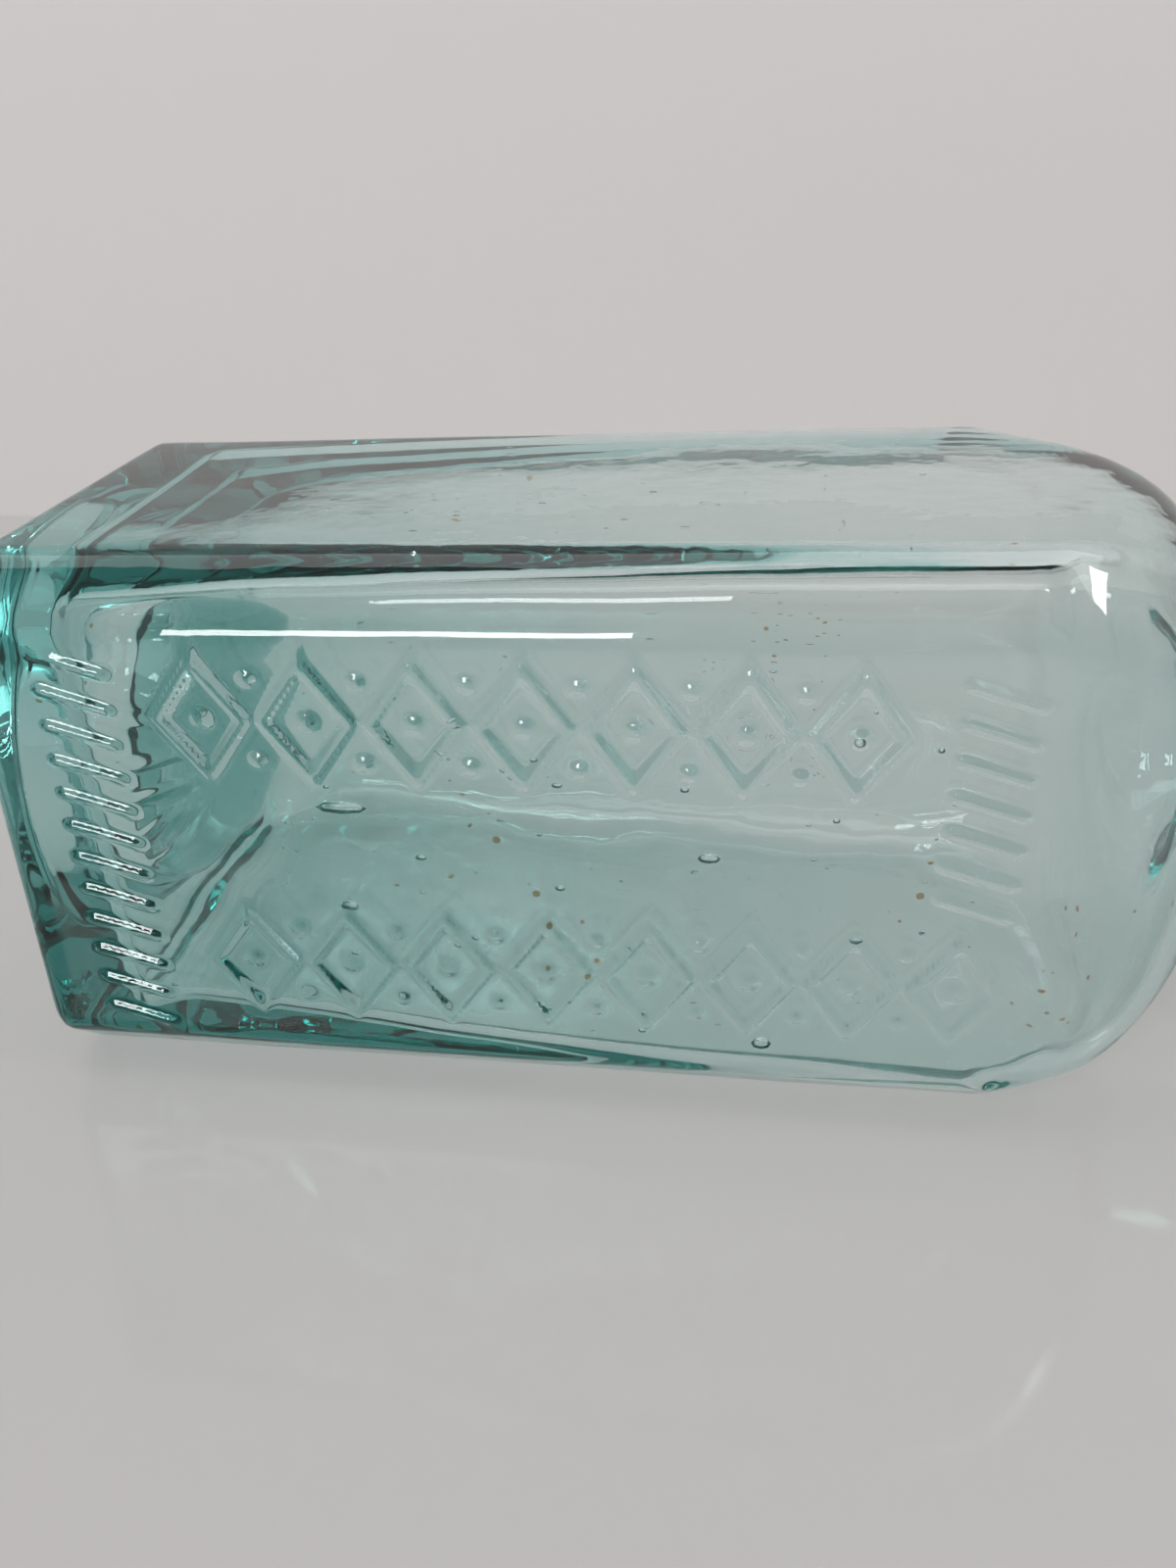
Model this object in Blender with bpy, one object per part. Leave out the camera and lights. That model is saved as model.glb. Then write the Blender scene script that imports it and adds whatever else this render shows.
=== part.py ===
"""Square moulded gin bottle lying on one side, with the cork in its neck. Metres, +Z up.

The bottle is drawn standing along its own Z axis and laid down by an empty. Lying, +X runs from
the base to the mouth, -Y is the front face and the bottle rests on one tapered side.
"""
import math

import bmesh
import bpy
import numpy as np

# Driving dimensions of the glass, in metres
BASE_WIDTH = 0.078            # across the flat sides, just above the base
SHOULDER_WIDTH = 0.084        # across the flat sides where the corners start to round off
BODY_LENGTH = 0.1356          # base to where the corners start to round off
CORNER_CUT = 0.0084           # leg of the flat that takes off each long corner, at the base
CORNER_SOFTNESS = 0.0012      # rounding of the two edges of that flat
HEEL_RADIUS = 0.0032          # rounding between the sides and the base
RIM_WIDTH = 0.0098            # narrowest part of the flat ring that the bottle stands on
RIM_ROUND = 0.0014            # rounding at the mouth of the push-up
PUSH_UP_HEIGHT = 0.0165       # depth of the hollow under the base
PUSH_UP_WALL = 0.008          # glass over the top of that hollow
BASE_THICKNESS = 0.0070       # glass between the standing ring and the floor inside
WALL_AT_BASE = 0.0080         # glass in the middle of each side, where it is thickest
WALL_AT_SHOULDER = 0.0023     # the same where the body ends
CORNER_AT_BASE = 0.0036       # radius of the round corner that the hollow's soft one matches, at the base
CORNER_AT_SHOULDER = 0.0165   # the same where the body ends
FLOOR_FILLET = 0.0050         # rounding between the walls and the floor inside
FLOOR_LAND = 0.001            # flat between that rounding and the dome
SHOULDER_REACH = 0.028        # length along the axis of the round shoulder's curve
SHOULDER_DROP = 0.0345        # how far that curve would come in towards the axis
SHOULDER_BLEND = 0.0060       # softening where the round shoulder cuts the flat sides
NECK_FOOT_DIAMETER = 0.031    # where the neck leaves the shoulder
NECK_DIAMETER = 0.029         # under the collar
NECK_FILLET = 0.009           # hollow curve between shoulder and neck
NECK_LENGTH = 0.030           # from that curve to the collar
COLLAR_HEIGHT = 0.020         # tapered collar of the finish
COLLAR_FLARE = 0.0026         # how far the collar's foot stands out from the neck
COLLAR_FOOT = 0.0022          # height of the collar's undercut foot
COLLAR_TOP_STEP = 0.0006      # how far the collar's top stands out from the neck
LIP_ROUND = 0.0016            # rounding of the lip, outside and in
BORE_DIAMETER = 0.0186        # inside the neck
MOUTH_WIDENING = 0.0010       # extra diameter of the bore at the mouth
SEAT_DEPTH = 0.026            # length of that widening

# Driving dimensions of the cork
CORK_LENGTH = 0.033
CORK_PROUD = 0.0085           # what stands out of the mouth
CORK_CLEARANCE = 0.0003       # between the cork and the bore
CORK_EDGE = 0.0010            # bevel of the cork's two ends

# Driving dimensions of the raised pattern on the front
RELIEF_HEIGHT = 0.00095       # how far it stands out, less where the shoulder is wider
RELIEF_WIDTH = 0.0016         # foot of a raised line
RELIEF_ROOT = 0.0006          # how far it is let into the wall
LOZENGE_HEIGHT = 0.0156       # from tip to tip across the face, at the middle of the line
LOZENGE_GAP = 0.0003          # between one lozenge and the next
STUD_WIDTH = 0.0030           # boss in the middle of each lozenge
UPPER_ROW_MARGIN = 0.0028     # from the upper row's tips to the edge of the flat face
LOWER_ROW_MARGIN = 0.0069     # the same for the lower row
UPPER_ROW_GAP = 0.0042        # from the base's ribs to the upper row
LOWER_ROW_GAP = 0.0062        # from the base's ribs to the lower row
LOWER_ROW_END = 0.0006        # from the end of the lower row to where the body ends
UPPER_ROW_COUNT = 7
LOWER_ROW_COUNT = 8
RIB_PITCH = 0.00495           # from one rib to the next across the face
RIB_LENGTH = 0.0084
RIB_SLANT = 0.0026            # how far a rib's ends are out of line
BASE_RIBS_PLACE = 0.0150      # base to the middle of the ribs
BASE_RIBS_MARGIN = 0.0034     # from the first and last rib to the edges of the flat face
SHOULDER_RIBS_PLACE = 0.0066  # middle of the ribs to where the body ends
SHOULDER_RIBS_MARGIN = 0.0063
RIB_CLEARANCE = 0.0050        # from the last of the shoulder's ribs to the lower row's tips

# How finely the curves are divided
HEEL_STEPS = 4
BODY_STEPS = 4
WALL_STEPS = 8
STUD_SIDES = 6
SHOULDER_STEPS = 13
FILLET_STEPS = 4
DOME_STEPS = 6
ROUND_STEPS = 3
CORK_STEPS = 3
TANGENT_ROUNDS = 40
FACE_ANGLE_SHARES = (0.0, 0.32, 0.64)   # of the angle from the middle of a side to its edge
ELLIPSE_SIDE_SHARE = 0.25               # of PUSH_UP_WALL that the dome inside gains at its foot
BLEND_RUN_SHARE = 0.3                   # of SHOULDER_REACH over which its softening grows
RELIEF_TOP_SHARE = 0.4                  # of RELIEF_WIDTH that a raised line keeps on top

HALF_TURN = math.pi
QUARTER_TURN = math.pi / 2
taper = (SHOULDER_WIDTH - BASE_WIDTH) / 2 / BODY_LENGTH
lean = math.atan(taper)
neck_radius = NECK_DIAMETER / 2
neck_foot_radius = NECK_FOOT_DIAMETER / 2
bore_radius = BORE_DIAMETER / 2
mouth_radius = bore_radius + MOUTH_WIDENING / 2
edge_angle = math.atan((BASE_WIDTH / 2 - CORNER_CUT) / (BASE_WIDTH / 2))
edge_spread = math.atan(CORNER_SOFTNESS / (BASE_WIDTH / 2))


def ring_angles():
    """Directions of the section's points: closer together at the edges of the corner flats."""
    eighth = [share * edge_angle for share in FACE_ANGLE_SHARES]
    eighth += [edge_angle - edge_spread, edge_angle, edge_angle + edge_spread]
    quarter = eighth + [QUARTER_TURN - angle for angle in reversed(eighth[1:])]
    return np.array([side * QUARTER_TURN + angle for side in range(4) for angle in quarter])


angles = ring_angles()
folded = np.arccos(np.abs(np.cos(angles)))
folded = np.minimum(folded, QUARTER_TURN - folded)   # each direction folded into one eighth


def half_width(height):
    """Distance from the axis to the middle of a straight side."""
    return BASE_WIDTH / 2 + height * taper


def smooth_lesser(first, second, blend):
    """The lesser of two radii, with the corner between them rounded over the blend."""
    blend = max(blend, np.finfo(float).tiny)
    mix = np.clip(0.5 + 0.5 * (second - first) / blend, 0, 1)
    return second * (1 - mix) + first * mix - blend * mix * (1 - mix)


def cut_square(half):
    """Radii of a square section with its corners cut off and the cut's edges softened."""
    cut = CORNER_CUT * half / (BASE_WIDTH / 2)
    side = half / np.cos(folded)
    corner = (2 * half - cut) / (np.cos(folded) + np.sin(folded))
    return smooth_lesser(side, corner, CORNER_SOFTNESS / 2)


def wall_at(height):
    """Glass in the middle of a side: it thins by the square of what is left of the body."""
    left = 1 - min(max(height / BODY_LENGTH, 0), 1)
    return WALL_AT_SHOULDER + (WALL_AT_BASE - WALL_AT_SHOULDER) * left ** 2


def hollow_section(height):
    """Radii of the hollow: half its width, and the corner that grows along the body."""
    share = min(max(height / BODY_LENGTH, 0), 1)
    corner = CORNER_AT_BASE + (CORNER_AT_SHOULDER - CORNER_AT_BASE) * share
    return soft_square(half_width(height) - wall_at(height), corner)


def soft_square(half, corner):
    """Radii of |x|^p + |y|^p = half^p, with the power that a round corner's diagonal asks for."""
    reach = 1 - (1 - math.sqrt(0.5)) * min(corner / half, 1)
    power = -math.log(2) / math.log(reach)
    return half * (np.cos(folded) ** power + np.sin(folded) ** power) ** (-1 / power)


def circle(radius):
    """Radii of a round section."""
    return np.full(len(angles), radius)


def ring(radii, height):
    """One closed line of points round the axis."""
    return np.column_stack((radii * np.cos(angles), radii * np.sin(angles), np.full(len(angles), height)))


def shoulder_line():
    """Side view of the round shoulder: height, radius and outward normal of each point.

    A quarter ellipse starts at the body's corners, and a hollow arc leads from it into the neck.
    The place where the two touch is found by halving.
    """
    start = float(cut_square(half_width(BODY_LENGTH)).max())

    def on_ellipse(turn):
        height = BODY_LENGTH + SHOULDER_REACH * math.sin(turn)
        radius = start - SHOULDER_DROP * (1 - math.cos(turn))
        up, across = math.sin(turn) / SHOULDER_REACH, math.cos(turn) / SHOULDER_DROP
        length = math.hypot(up, across)
        return height, radius, up / length, across / length

    low, high = 0.0, QUARTER_TURN
    for _ in range(TANGENT_ROUNDS):
        turn = (low + high) / 2
        height, radius, up, across = on_ellipse(turn)
        if radius + NECK_FILLET * across > neck_foot_radius + NECK_FILLET:
            low = turn
        else:
            high = turn
    line = [on_ellipse(turn * step / SHOULDER_STEPS) for step in range(SHOULDER_STEPS + 1)]
    middle_height = height + NECK_FILLET * up
    middle_radius = radius + NECK_FILLET * across
    first = math.atan2(across, up)
    for step in range(1, FILLET_STEPS + 1):
        angle = first + (QUARTER_TURN - first) * step / FILLET_STEPS
        up, across = math.cos(angle), math.sin(angle)
        line.append((middle_height - NECK_FILLET * up, middle_radius - NECK_FILLET * across, up, across))
    return line


shoulder = shoulder_line()
neck_foot = shoulder[-1][0]
collar_foot = neck_foot + NECK_LENGTH
mouth = collar_foot + COLLAR_HEIGHT


def shoulder_section(radii, limit, height):
    """A square section drawn in to the round shoulder, softened where the two meet."""
    run = (height - BODY_LENGTH) / (SHOULDER_REACH * BLEND_RUN_SHARE)
    return smooth_lesser(radii, limit, SHOULDER_BLEND * min(max(run, 0), 1))


def outer_rings():
    """Outside of the glass, from the top of the push-up over the heel, sides and collar."""
    rim = half_width(HEEL_RADIUS) - HEEL_RADIUS
    push_up_radius = rim - RIM_WIDTH - RIM_ROUND
    rings = []
    for step in range(1, DOME_STEPS + 1):
        turn = QUARTER_TURN * step / DOME_STEPS
        radius = push_up_radius * math.sin(turn)
        rings.append(ring(circle(radius), RIM_ROUND + (PUSH_UP_HEIGHT - RIM_ROUND) * math.cos(turn)))
    for step in range(1, ROUND_STEPS + 1):
        turn = QUARTER_TURN * step / ROUND_STEPS
        radius = push_up_radius + RIM_ROUND * (1 - math.cos(turn))
        rings.append(ring(circle(radius), RIM_ROUND * (1 - math.sin(turn))))
    for step in range(HEEL_STEPS + 1):
        turn = QUARTER_TURN * step / HEEL_STEPS
        rings.append(ring(cut_square(rim + HEEL_RADIUS * math.sin(turn)), HEEL_RADIUS * (1 - math.cos(turn))))
    for step in range(1, BODY_STEPS):
        height = HEEL_RADIUS + (BODY_LENGTH - HEEL_RADIUS) * step / BODY_STEPS
        rings.append(ring(cut_square(half_width(height)), height))
    for height, radius, _, _ in shoulder:
        rings.append(ring(shoulder_section(cut_square(half_width(height)), radius, height), height))
    return rings + [ring(circle(radius), height) for height, radius in collar_line()]


def collar_line():
    """Side view of the finish: an undercut foot, a tapered collar and a rounded lip."""
    top_radius = neck_radius + COLLAR_TOP_STEP
    line = [(collar_foot, neck_radius), (collar_foot + COLLAR_FOOT, neck_radius + COLLAR_FLARE)]
    line.append((collar_foot + 2 * COLLAR_FOOT, neck_radius + COLLAR_FLARE))
    for step in range(ROUND_STEPS + 1):
        turn = QUARTER_TURN * step / ROUND_STEPS
        line.append((mouth - LIP_ROUND * (1 - math.sin(turn)), top_radius - LIP_ROUND * (1 - math.cos(turn))))
    return line


def inner_rings():
    """Inside of the glass, from the lip down the bore, over the walls and floor to the dome."""
    rings = []
    for step in range(ROUND_STEPS + 1):
        turn = QUARTER_TURN * step / ROUND_STEPS
        radius = mouth_radius + LIP_ROUND * (1 - math.sin(turn))
        rings.append(ring(circle(radius), mouth - LIP_ROUND * (1 - math.cos(turn))))
    rings.append(ring(circle(bore_radius), mouth - SEAT_DEPTH))
    neck_wall = neck_foot_radius - bore_radius
    for height, radius, up, across in reversed(shoulder):
        share = (height - BODY_LENGTH) / (neck_foot - BODY_LENGTH)
        wall = WALL_AT_SHOULDER + (neck_wall - WALL_AT_SHOULDER) * share ** 2
        inner_height, inner_radius = height - wall * up, radius - wall * across
        section = hollow_section(inner_height)
        rings.append(ring(shoulder_section(section, inner_radius, height), inner_height))
    return rings + floor_rings()


def floor_rings():
    """Inside of the walls and base: straight walls, a rounding, a floor and the dome over the push-up."""
    dome_height = PUSH_UP_HEIGHT + PUSH_UP_WALL
    rim = half_width(HEEL_RADIUS) - HEEL_RADIUS
    dome_radius = rim - RIM_WIDTH - RIM_ROUND + PUSH_UP_WALL * ELLIPSE_SIDE_SHARE
    dome_turn = math.acos(min(BASE_THICKNESS / dome_height, 1))
    dome_foot = dome_radius * math.sin(dome_turn)
    half = hollow_section(BASE_THICKNESS + FLOOR_FILLET)[0]
    fillet = min(FLOOR_FILLET, half - dome_foot - FLOOR_LAND)
    top = BASE_THICKNESS + fillet
    rings = []
    for step in range(1, WALL_STEPS):
        height = BODY_LENGTH + (top - BODY_LENGTH) * step / WALL_STEPS
        rings.append(ring(hollow_section(height), height))
    foot = hollow_section(top)
    for step in range(HEEL_STEPS + 1):
        turn = QUARTER_TURN * step / HEEL_STEPS
        inset = fillet * (1 - math.cos(turn))
        rings.append(ring(foot * (1 - inset / foot[0]), top - fillet * math.sin(turn)))
    for step in range(DOME_STEPS):
        turn = dome_turn * (1 - step / DOME_STEPS)
        rings.append(ring(circle(dome_radius * math.sin(turn)), dome_height * math.cos(turn)))
    return rings


def closed_loft(name, rings, start_height, end_height):
    """A closed skin through the rings, ending in one point on the axis at each end."""
    count = len(angles)
    mesh = bpy.data.meshes.new(name)
    shape = bmesh.new()
    start = shape.verts.new((0, 0, start_height))
    lines = [[shape.verts.new(point) for point in line.tolist()] for line in rings]
    end = shape.verts.new((0, 0, end_height))
    for index in range(count):
        following = (index + 1) % count
        shape.faces.new((start, lines[0][following], lines[0][index]))
        for line, above in zip(lines, lines[1:]):
            shape.faces.new((line[index], line[following], above[following], above[index]))
        shape.faces.new((lines[-1][index], lines[-1][following], end))
    shape.to_mesh(mesh)
    shape.free()
    return bpy.data.objects.new(name, mesh)


def material(name, colour, roughness, see_through):
    """A plain material for one kind of stuff."""
    made = bpy.data.materials.new(name)
    made.use_nodes = True
    surface = made.node_tree.nodes["Principled BSDF"]
    surface.inputs["Base Color"].default_value = (*colour, 1)
    surface.inputs["Roughness"].default_value = roughness
    surface.inputs["Metallic"].default_value = 0
    surface.inputs["Transmission Weight"].default_value = see_through
    return made


def finish(obj, stuff, frame, crease):
    """Give a piece its material, shading and place in the lying frame."""
    obj.data.materials.append(stuff)
    obj.data.shade_smooth()
    obj.data.set_sharp_from_angle(angle=crease)
    obj.parent = frame
    bpy.context.scene.collection.objects.link(obj)


def flat_half(height):
    """Distance from the middle of a side to the edge of its flat."""
    return half_width(height) * (1 - CORNER_CUT / (BASE_WIDTH / 2))


def front_level(height, widest, raised):
    """Place of the pattern's top or root, out from the axis; the top stays within the widest part."""
    if raised:
        return min(half_width(height) + RELIEF_HEIGHT, widest)
    return half_width(height) - RELIEF_ROOT


def raised_shape(shape, foot, top, widest, rings):
    """One raised form on the front, from its outline at the glass and its outline on top.

    Its sides go on down to the root. With two outlines each it is a frame, open in the middle.
    """
    deeper = RELIEF_ROOT / RELIEF_HEIGHT
    lines = []
    for low, high in zip(foot, top):
        root = [(a + (a - b) * deeper, c + (c - d) * deeper) for (a, c), (b, d) in zip(low, high)]
        lines.append([shape.verts.new((c, -front_level(a, widest, False), a)) for a, c in root])
        lines.append([shape.verts.new((c, -front_level(a, widest, True), a)) for a, c in high])
    if rings:
        order = [lines[0], lines[1], lines[3], lines[2], lines[0]]
    else:
        order = lines
        shape.faces.new(lines[0])
        shape.faces.new(lines[1])
    for line, above in zip(order, order[1:]):
        for index in range(len(line)):
            following = (index + 1) % len(line)
            shape.faces.new((line[index], line[following], above[following], above[index]))


def lozenge(shape, along, across, half_length, widest):
    """A frame of four raised lines with a boss in its middle."""
    half_height = LOZENGE_HEIGHT / 2
    slope = math.hypot(1 / half_length, 1 / half_height)

    def outline(offset):
        grow = 1 + offset * slope
        return [(along + half_length * grow * a, across + half_height * grow * c)
                for a, c in ((1, 0), (0, 1), (-1, 0), (0, -1))]

    def round_outline(radius):
        turns = [2 * HALF_TURN * step / STUD_SIDES for step in range(STUD_SIDES)]
        return [(along + radius * math.cos(turn), across + radius * math.sin(turn)) for turn in turns]

    half = RELIEF_WIDTH / 2
    kept = half * RELIEF_TOP_SHARE
    raised_shape(shape, (outline(half), outline(-half)), (outline(kept), outline(-kept)), widest, True)
    raised_shape(shape, (round_outline(STUD_WIDTH / 2),), (round_outline(STUD_WIDTH / 2 * RELIEF_TOP_SHARE),),
                 widest, False)


def rib(shape, along, across, widest):
    """A short slanted line."""
    def outline(half):
        reach = RIB_LENGTH / 2 + half
        lean_over = RIB_SLANT / 2
        return [(along - reach, across - lean_over - half), (along + reach, across + lean_over - half),
                (along + reach, across + lean_over + half), (along - reach, across - lean_over + half)]

    half = RELIEF_WIDTH / 2
    raised_shape(shape, (outline(half),), (outline(half * RELIEF_TOP_SHARE),), widest, False)


def front_pattern(frame, widest):
    """Two rows of lozenges along the front and a row of ribs across each end of it."""
    ribs_end = BASE_RIBS_PLACE + (RIB_LENGTH + RELIEF_WIDTH) / 2
    pitch = (BODY_LENGTH - ribs_end - LOWER_ROW_GAP - LOWER_ROW_END) / LOWER_ROW_COUNT
    reach = (pitch - LOZENGE_GAP) / 2
    half_length = reach - RELIEF_WIDTH / 2 * math.hypot(1, 2 * reach / LOZENGE_HEIGHT)
    shape = bmesh.new()
    start = ribs_end + UPPER_ROW_GAP + pitch / 2
    upper = flat_half(start) - UPPER_ROW_MARGIN - LOZENGE_HEIGHT / 2
    for step in range(UPPER_ROW_COUNT):
        lozenge(shape, start + step * pitch, -upper, half_length, widest)
    start = ribs_end + LOWER_ROW_GAP + pitch / 2
    lower = flat_half(start) - LOWER_ROW_MARGIN - LOZENGE_HEIGHT / 2
    for step in range(LOWER_ROW_COUNT):
        lozenge(shape, start + step * pitch, lower, half_length, widest)
    first = flat_half(BASE_RIBS_PLACE) - BASE_RIBS_MARGIN
    for step in range(int(2 * first / RIB_PITCH) + 1):
        rib(shape, BASE_RIBS_PLACE, step * RIB_PITCH - first, widest)
    place = BODY_LENGTH - SHOULDER_RIBS_PLACE
    first = flat_half(place) - SHOULDER_RIBS_MARGIN
    last = lower - LOZENGE_HEIGHT / 2 - RIB_CLEARANCE
    for step in range(int((last + first) / RIB_PITCH) + 1):
        rib(shape, place, step * RIB_PITCH - first, widest)
    bmesh.ops.recalc_face_normals(shape, faces=shape.faces)
    mesh = bpy.data.meshes.new("front_pattern")
    shape.to_mesh(mesh)
    shape.free()
    pattern = bpy.data.objects.new("front_pattern", mesh)
    pattern.hide_render = True
    pattern.display_type = "WIRE"
    pattern.parent = frame
    bpy.context.scene.collection.objects.link(pattern)
    return pattern


def glass_bottle(frame):
    """The glass: body, shoulder, neck and finish are one piece, as it left the mould."""
    outside = outer_rings()
    obj = closed_loft("glass_bottle", outside + inner_rings(), PUSH_UP_HEIGHT, PUSH_UP_HEIGHT + PUSH_UP_WALL)
    union = obj.modifiers.new("front_pattern", "BOOLEAN")
    union.operation = "UNION"
    union.object = front_pattern(frame, max(abs(line[:, 1]).max() for line in outside))
    finish(obj, material("aqua_glass", (0.55, 0.77, 0.74), 0.03, 1.0), frame, HALF_TURN / 5)
    return obj


def cork_radius(height):
    """Radius of the cork where it follows the widening of the bore."""
    share = (height - (mouth - SEAT_DEPTH)) / SEAT_DEPTH
    return bore_radius + (mouth_radius - bore_radius) * share - CORK_CLEARANCE


def cork_stopper(frame):
    """The cork: a slightly tapered plug that the neck holds. It is drawn along its way out."""
    foot = mouth + CORK_PROUD - CORK_LENGTH
    top = mouth + CORK_PROUD
    rings = [ring(circle(cork_radius(foot) - CORK_EDGE), 0)]
    for step in range(CORK_STEPS + 1):
        height = foot + CORK_EDGE + (CORK_LENGTH - 2 * CORK_EDGE) * step / CORK_STEPS
        rings.append(ring(circle(cork_radius(height)), height - foot))
    rings.append(ring(circle(cork_radius(top) - CORK_EDGE), CORK_LENGTH))
    obj = closed_loft("cork_stopper", rings, 0, CORK_LENGTH)
    obj.location = (0, 0, foot)
    finish(obj, material("cork", (0.50, 0.33, 0.19), 0.85, 0.0), frame, HALF_TURN / 6)
    return obj


def lying_frame():
    """An empty whose Z axis is the bottle's axis, turned so that one tapered side lies flat."""
    frame = bpy.data.objects.new("lying_frame", None)
    frame.rotation_euler = (0, QUARTER_TURN - lean, 0)
    bpy.context.scene.collection.objects.link(frame)
    return frame


def settle(frame, pieces):
    """Put the resting side on the ground and the middle of the whole length over the origin."""
    bpy.context.view_layer.update()
    ends = [(piece.matrix_world @ point.co).x for piece in pieces for point in piece.data.vertices]
    frame.location = (-(min(ends) + max(ends)) / 2, 0, BASE_WIDTH / 2 * math.cos(lean))
    bpy.context.view_layer.update()


def build():
    """Clear the scene and make the bottle and its cork."""
    for old in list(bpy.data.objects):
        bpy.data.objects.remove(old)
    frame = lying_frame()
    settle(frame, [glass_bottle(frame), cork_stopper(frame)])


build()
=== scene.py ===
import math

import bpy
import numpy as np
from mathutils import Matrix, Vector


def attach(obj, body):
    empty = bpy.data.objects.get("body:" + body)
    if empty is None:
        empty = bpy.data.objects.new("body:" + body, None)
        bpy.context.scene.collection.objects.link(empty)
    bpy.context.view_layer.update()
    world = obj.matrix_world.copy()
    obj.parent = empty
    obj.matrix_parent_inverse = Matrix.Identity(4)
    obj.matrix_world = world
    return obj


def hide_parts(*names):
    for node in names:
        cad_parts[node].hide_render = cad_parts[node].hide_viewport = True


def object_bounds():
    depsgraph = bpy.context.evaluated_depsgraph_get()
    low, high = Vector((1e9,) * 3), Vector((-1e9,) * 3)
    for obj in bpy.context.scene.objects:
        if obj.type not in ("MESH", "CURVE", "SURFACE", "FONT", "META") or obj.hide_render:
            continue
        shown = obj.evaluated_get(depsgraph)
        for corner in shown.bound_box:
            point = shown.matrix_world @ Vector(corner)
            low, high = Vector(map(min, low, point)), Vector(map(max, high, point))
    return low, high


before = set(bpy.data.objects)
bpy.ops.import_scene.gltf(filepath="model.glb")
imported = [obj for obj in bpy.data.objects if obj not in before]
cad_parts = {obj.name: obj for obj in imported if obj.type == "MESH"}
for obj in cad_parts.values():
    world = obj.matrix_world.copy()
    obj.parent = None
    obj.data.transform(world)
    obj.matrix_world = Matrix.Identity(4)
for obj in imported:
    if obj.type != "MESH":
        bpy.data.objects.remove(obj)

cadBox = [list(corner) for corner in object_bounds()]
print("frame loaded:", sorted(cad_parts))

# Shared mesh helpers

quarterTurn = math.pi / 2
tiny = 1e-9
cubicCentimetres = 1e6  # in a cubic metre


def smoothLesser(first, second, blend):
    # the lesser of two radii; where they differ by less than the blend, a parabola rounds the corner
    blend = np.maximum(blend, tiny)
    mix = np.clip(0.5 + 0.5 * (second - first) / blend, 0, 1)
    return second * (1 - mix) + first * mix - blend * mix * (1 - mix)


def easeIn(value):
    # 3t^2 - 2t^3 between 0 and 1, flat outside
    share = np.clip(value, 0, 1)
    return share * share * (3 - 2 * share)


def ripples(points, waves):
    # sum of plain cosine waves through space: each has its own heading, length and start, long ones weigh
    # more, and the sum is scaled to a spread of one half
    maker = np.random.default_rng(waves["seed"])
    headings = maker.normal(size=(waves["count"], 3)) * waves["stretch"]
    headings /= np.linalg.norm(headings, axis=1, keepdims=True)
    lengths = np.geomspace(waves["longest"], waves["shortest"], waves["count"])
    starts = maker.uniform(0, 2 * math.pi, waves["count"])
    weights = lengths / np.sqrt((lengths ** 2).sum() * 2)
    phase = points.reshape(-1, 3) @ (headings / lengths[:, None]).T * (2 * math.pi) + starts
    return (np.cos(phase) @ weights).reshape(points.shape[:-1])


def ringPoints(radii, heights, turns):
    # radius and height per row and column, turned round the axis
    radii, heights = np.broadcast_arrays(radii, heights)
    return np.stack((radii * np.cos(turns), radii * np.sin(turns), heights), axis=-1)


def meshFromArrays(name, points, quads, triangles):
    # whole arrays of points and corner numbers straight into a mesh, quads first
    mesh = bpy.data.meshes.new(name)
    corners = np.concatenate((quads.ravel(), triangles.ravel())).astype(np.int32)
    starts = np.concatenate((np.arange(len(quads)) * 4, len(quads) * 4 + np.arange(len(triangles)) * 3))
    mesh.vertices.add(len(points))
    mesh.vertices.foreach_set("co", points.astype(np.float32).ravel())
    mesh.loops.add(len(corners))
    mesh.loops.foreach_set("vertex_index", corners)
    mesh.polygons.add(len(starts))
    mesh.polygons.foreach_set("loop_start", starts.astype(np.int32))
    mesh.update(calc_edges=True)
    mesh.validate()
    mesh.shade_smooth()
    obj = bpy.data.objects.new(name, mesh)
    bpy.context.scene.collection.objects.link(obj)
    return obj


def gridQuads(numbers):
    # each cell of a grid of point numbers, closed round its second direction
    following = np.roll(numbers, -1, axis=1)
    return np.stack((numbers[:-1], following[:-1], following[1:], numbers[1:]), axis=-1).reshape(-1, 4)


def poleTriangles(pole, line, first):
    # a fan from one point to a closed line, wound to suit the line's end of the skin
    following, middle = np.roll(line, -1), np.full_like(line, pole)
    fan = (middle, following, line) if first else (line, following, middle)
    return np.stack(fan, axis=-1)


def enclosedVolume(obj):
    # sum of the signed tetrahedra between the origin and each triangle, and the count of triangles
    obj.data.calc_loop_triangles()
    corners = np.zeros(len(obj.data.loop_triangles) * 3, np.int32)
    obj.data.loop_triangles.foreach_get("vertices", corners)
    points = np.zeros(len(obj.data.vertices) * 3, np.float32)
    obj.data.vertices.foreach_get("co", points)
    first, second, third = points.reshape(-1, 3).astype(float)[corners.reshape(-1, 3)].transpose(1, 0, 2)
    return float((first * np.cross(second, third)).sum() / 6), len(corners) // 3


# The glass

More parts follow.
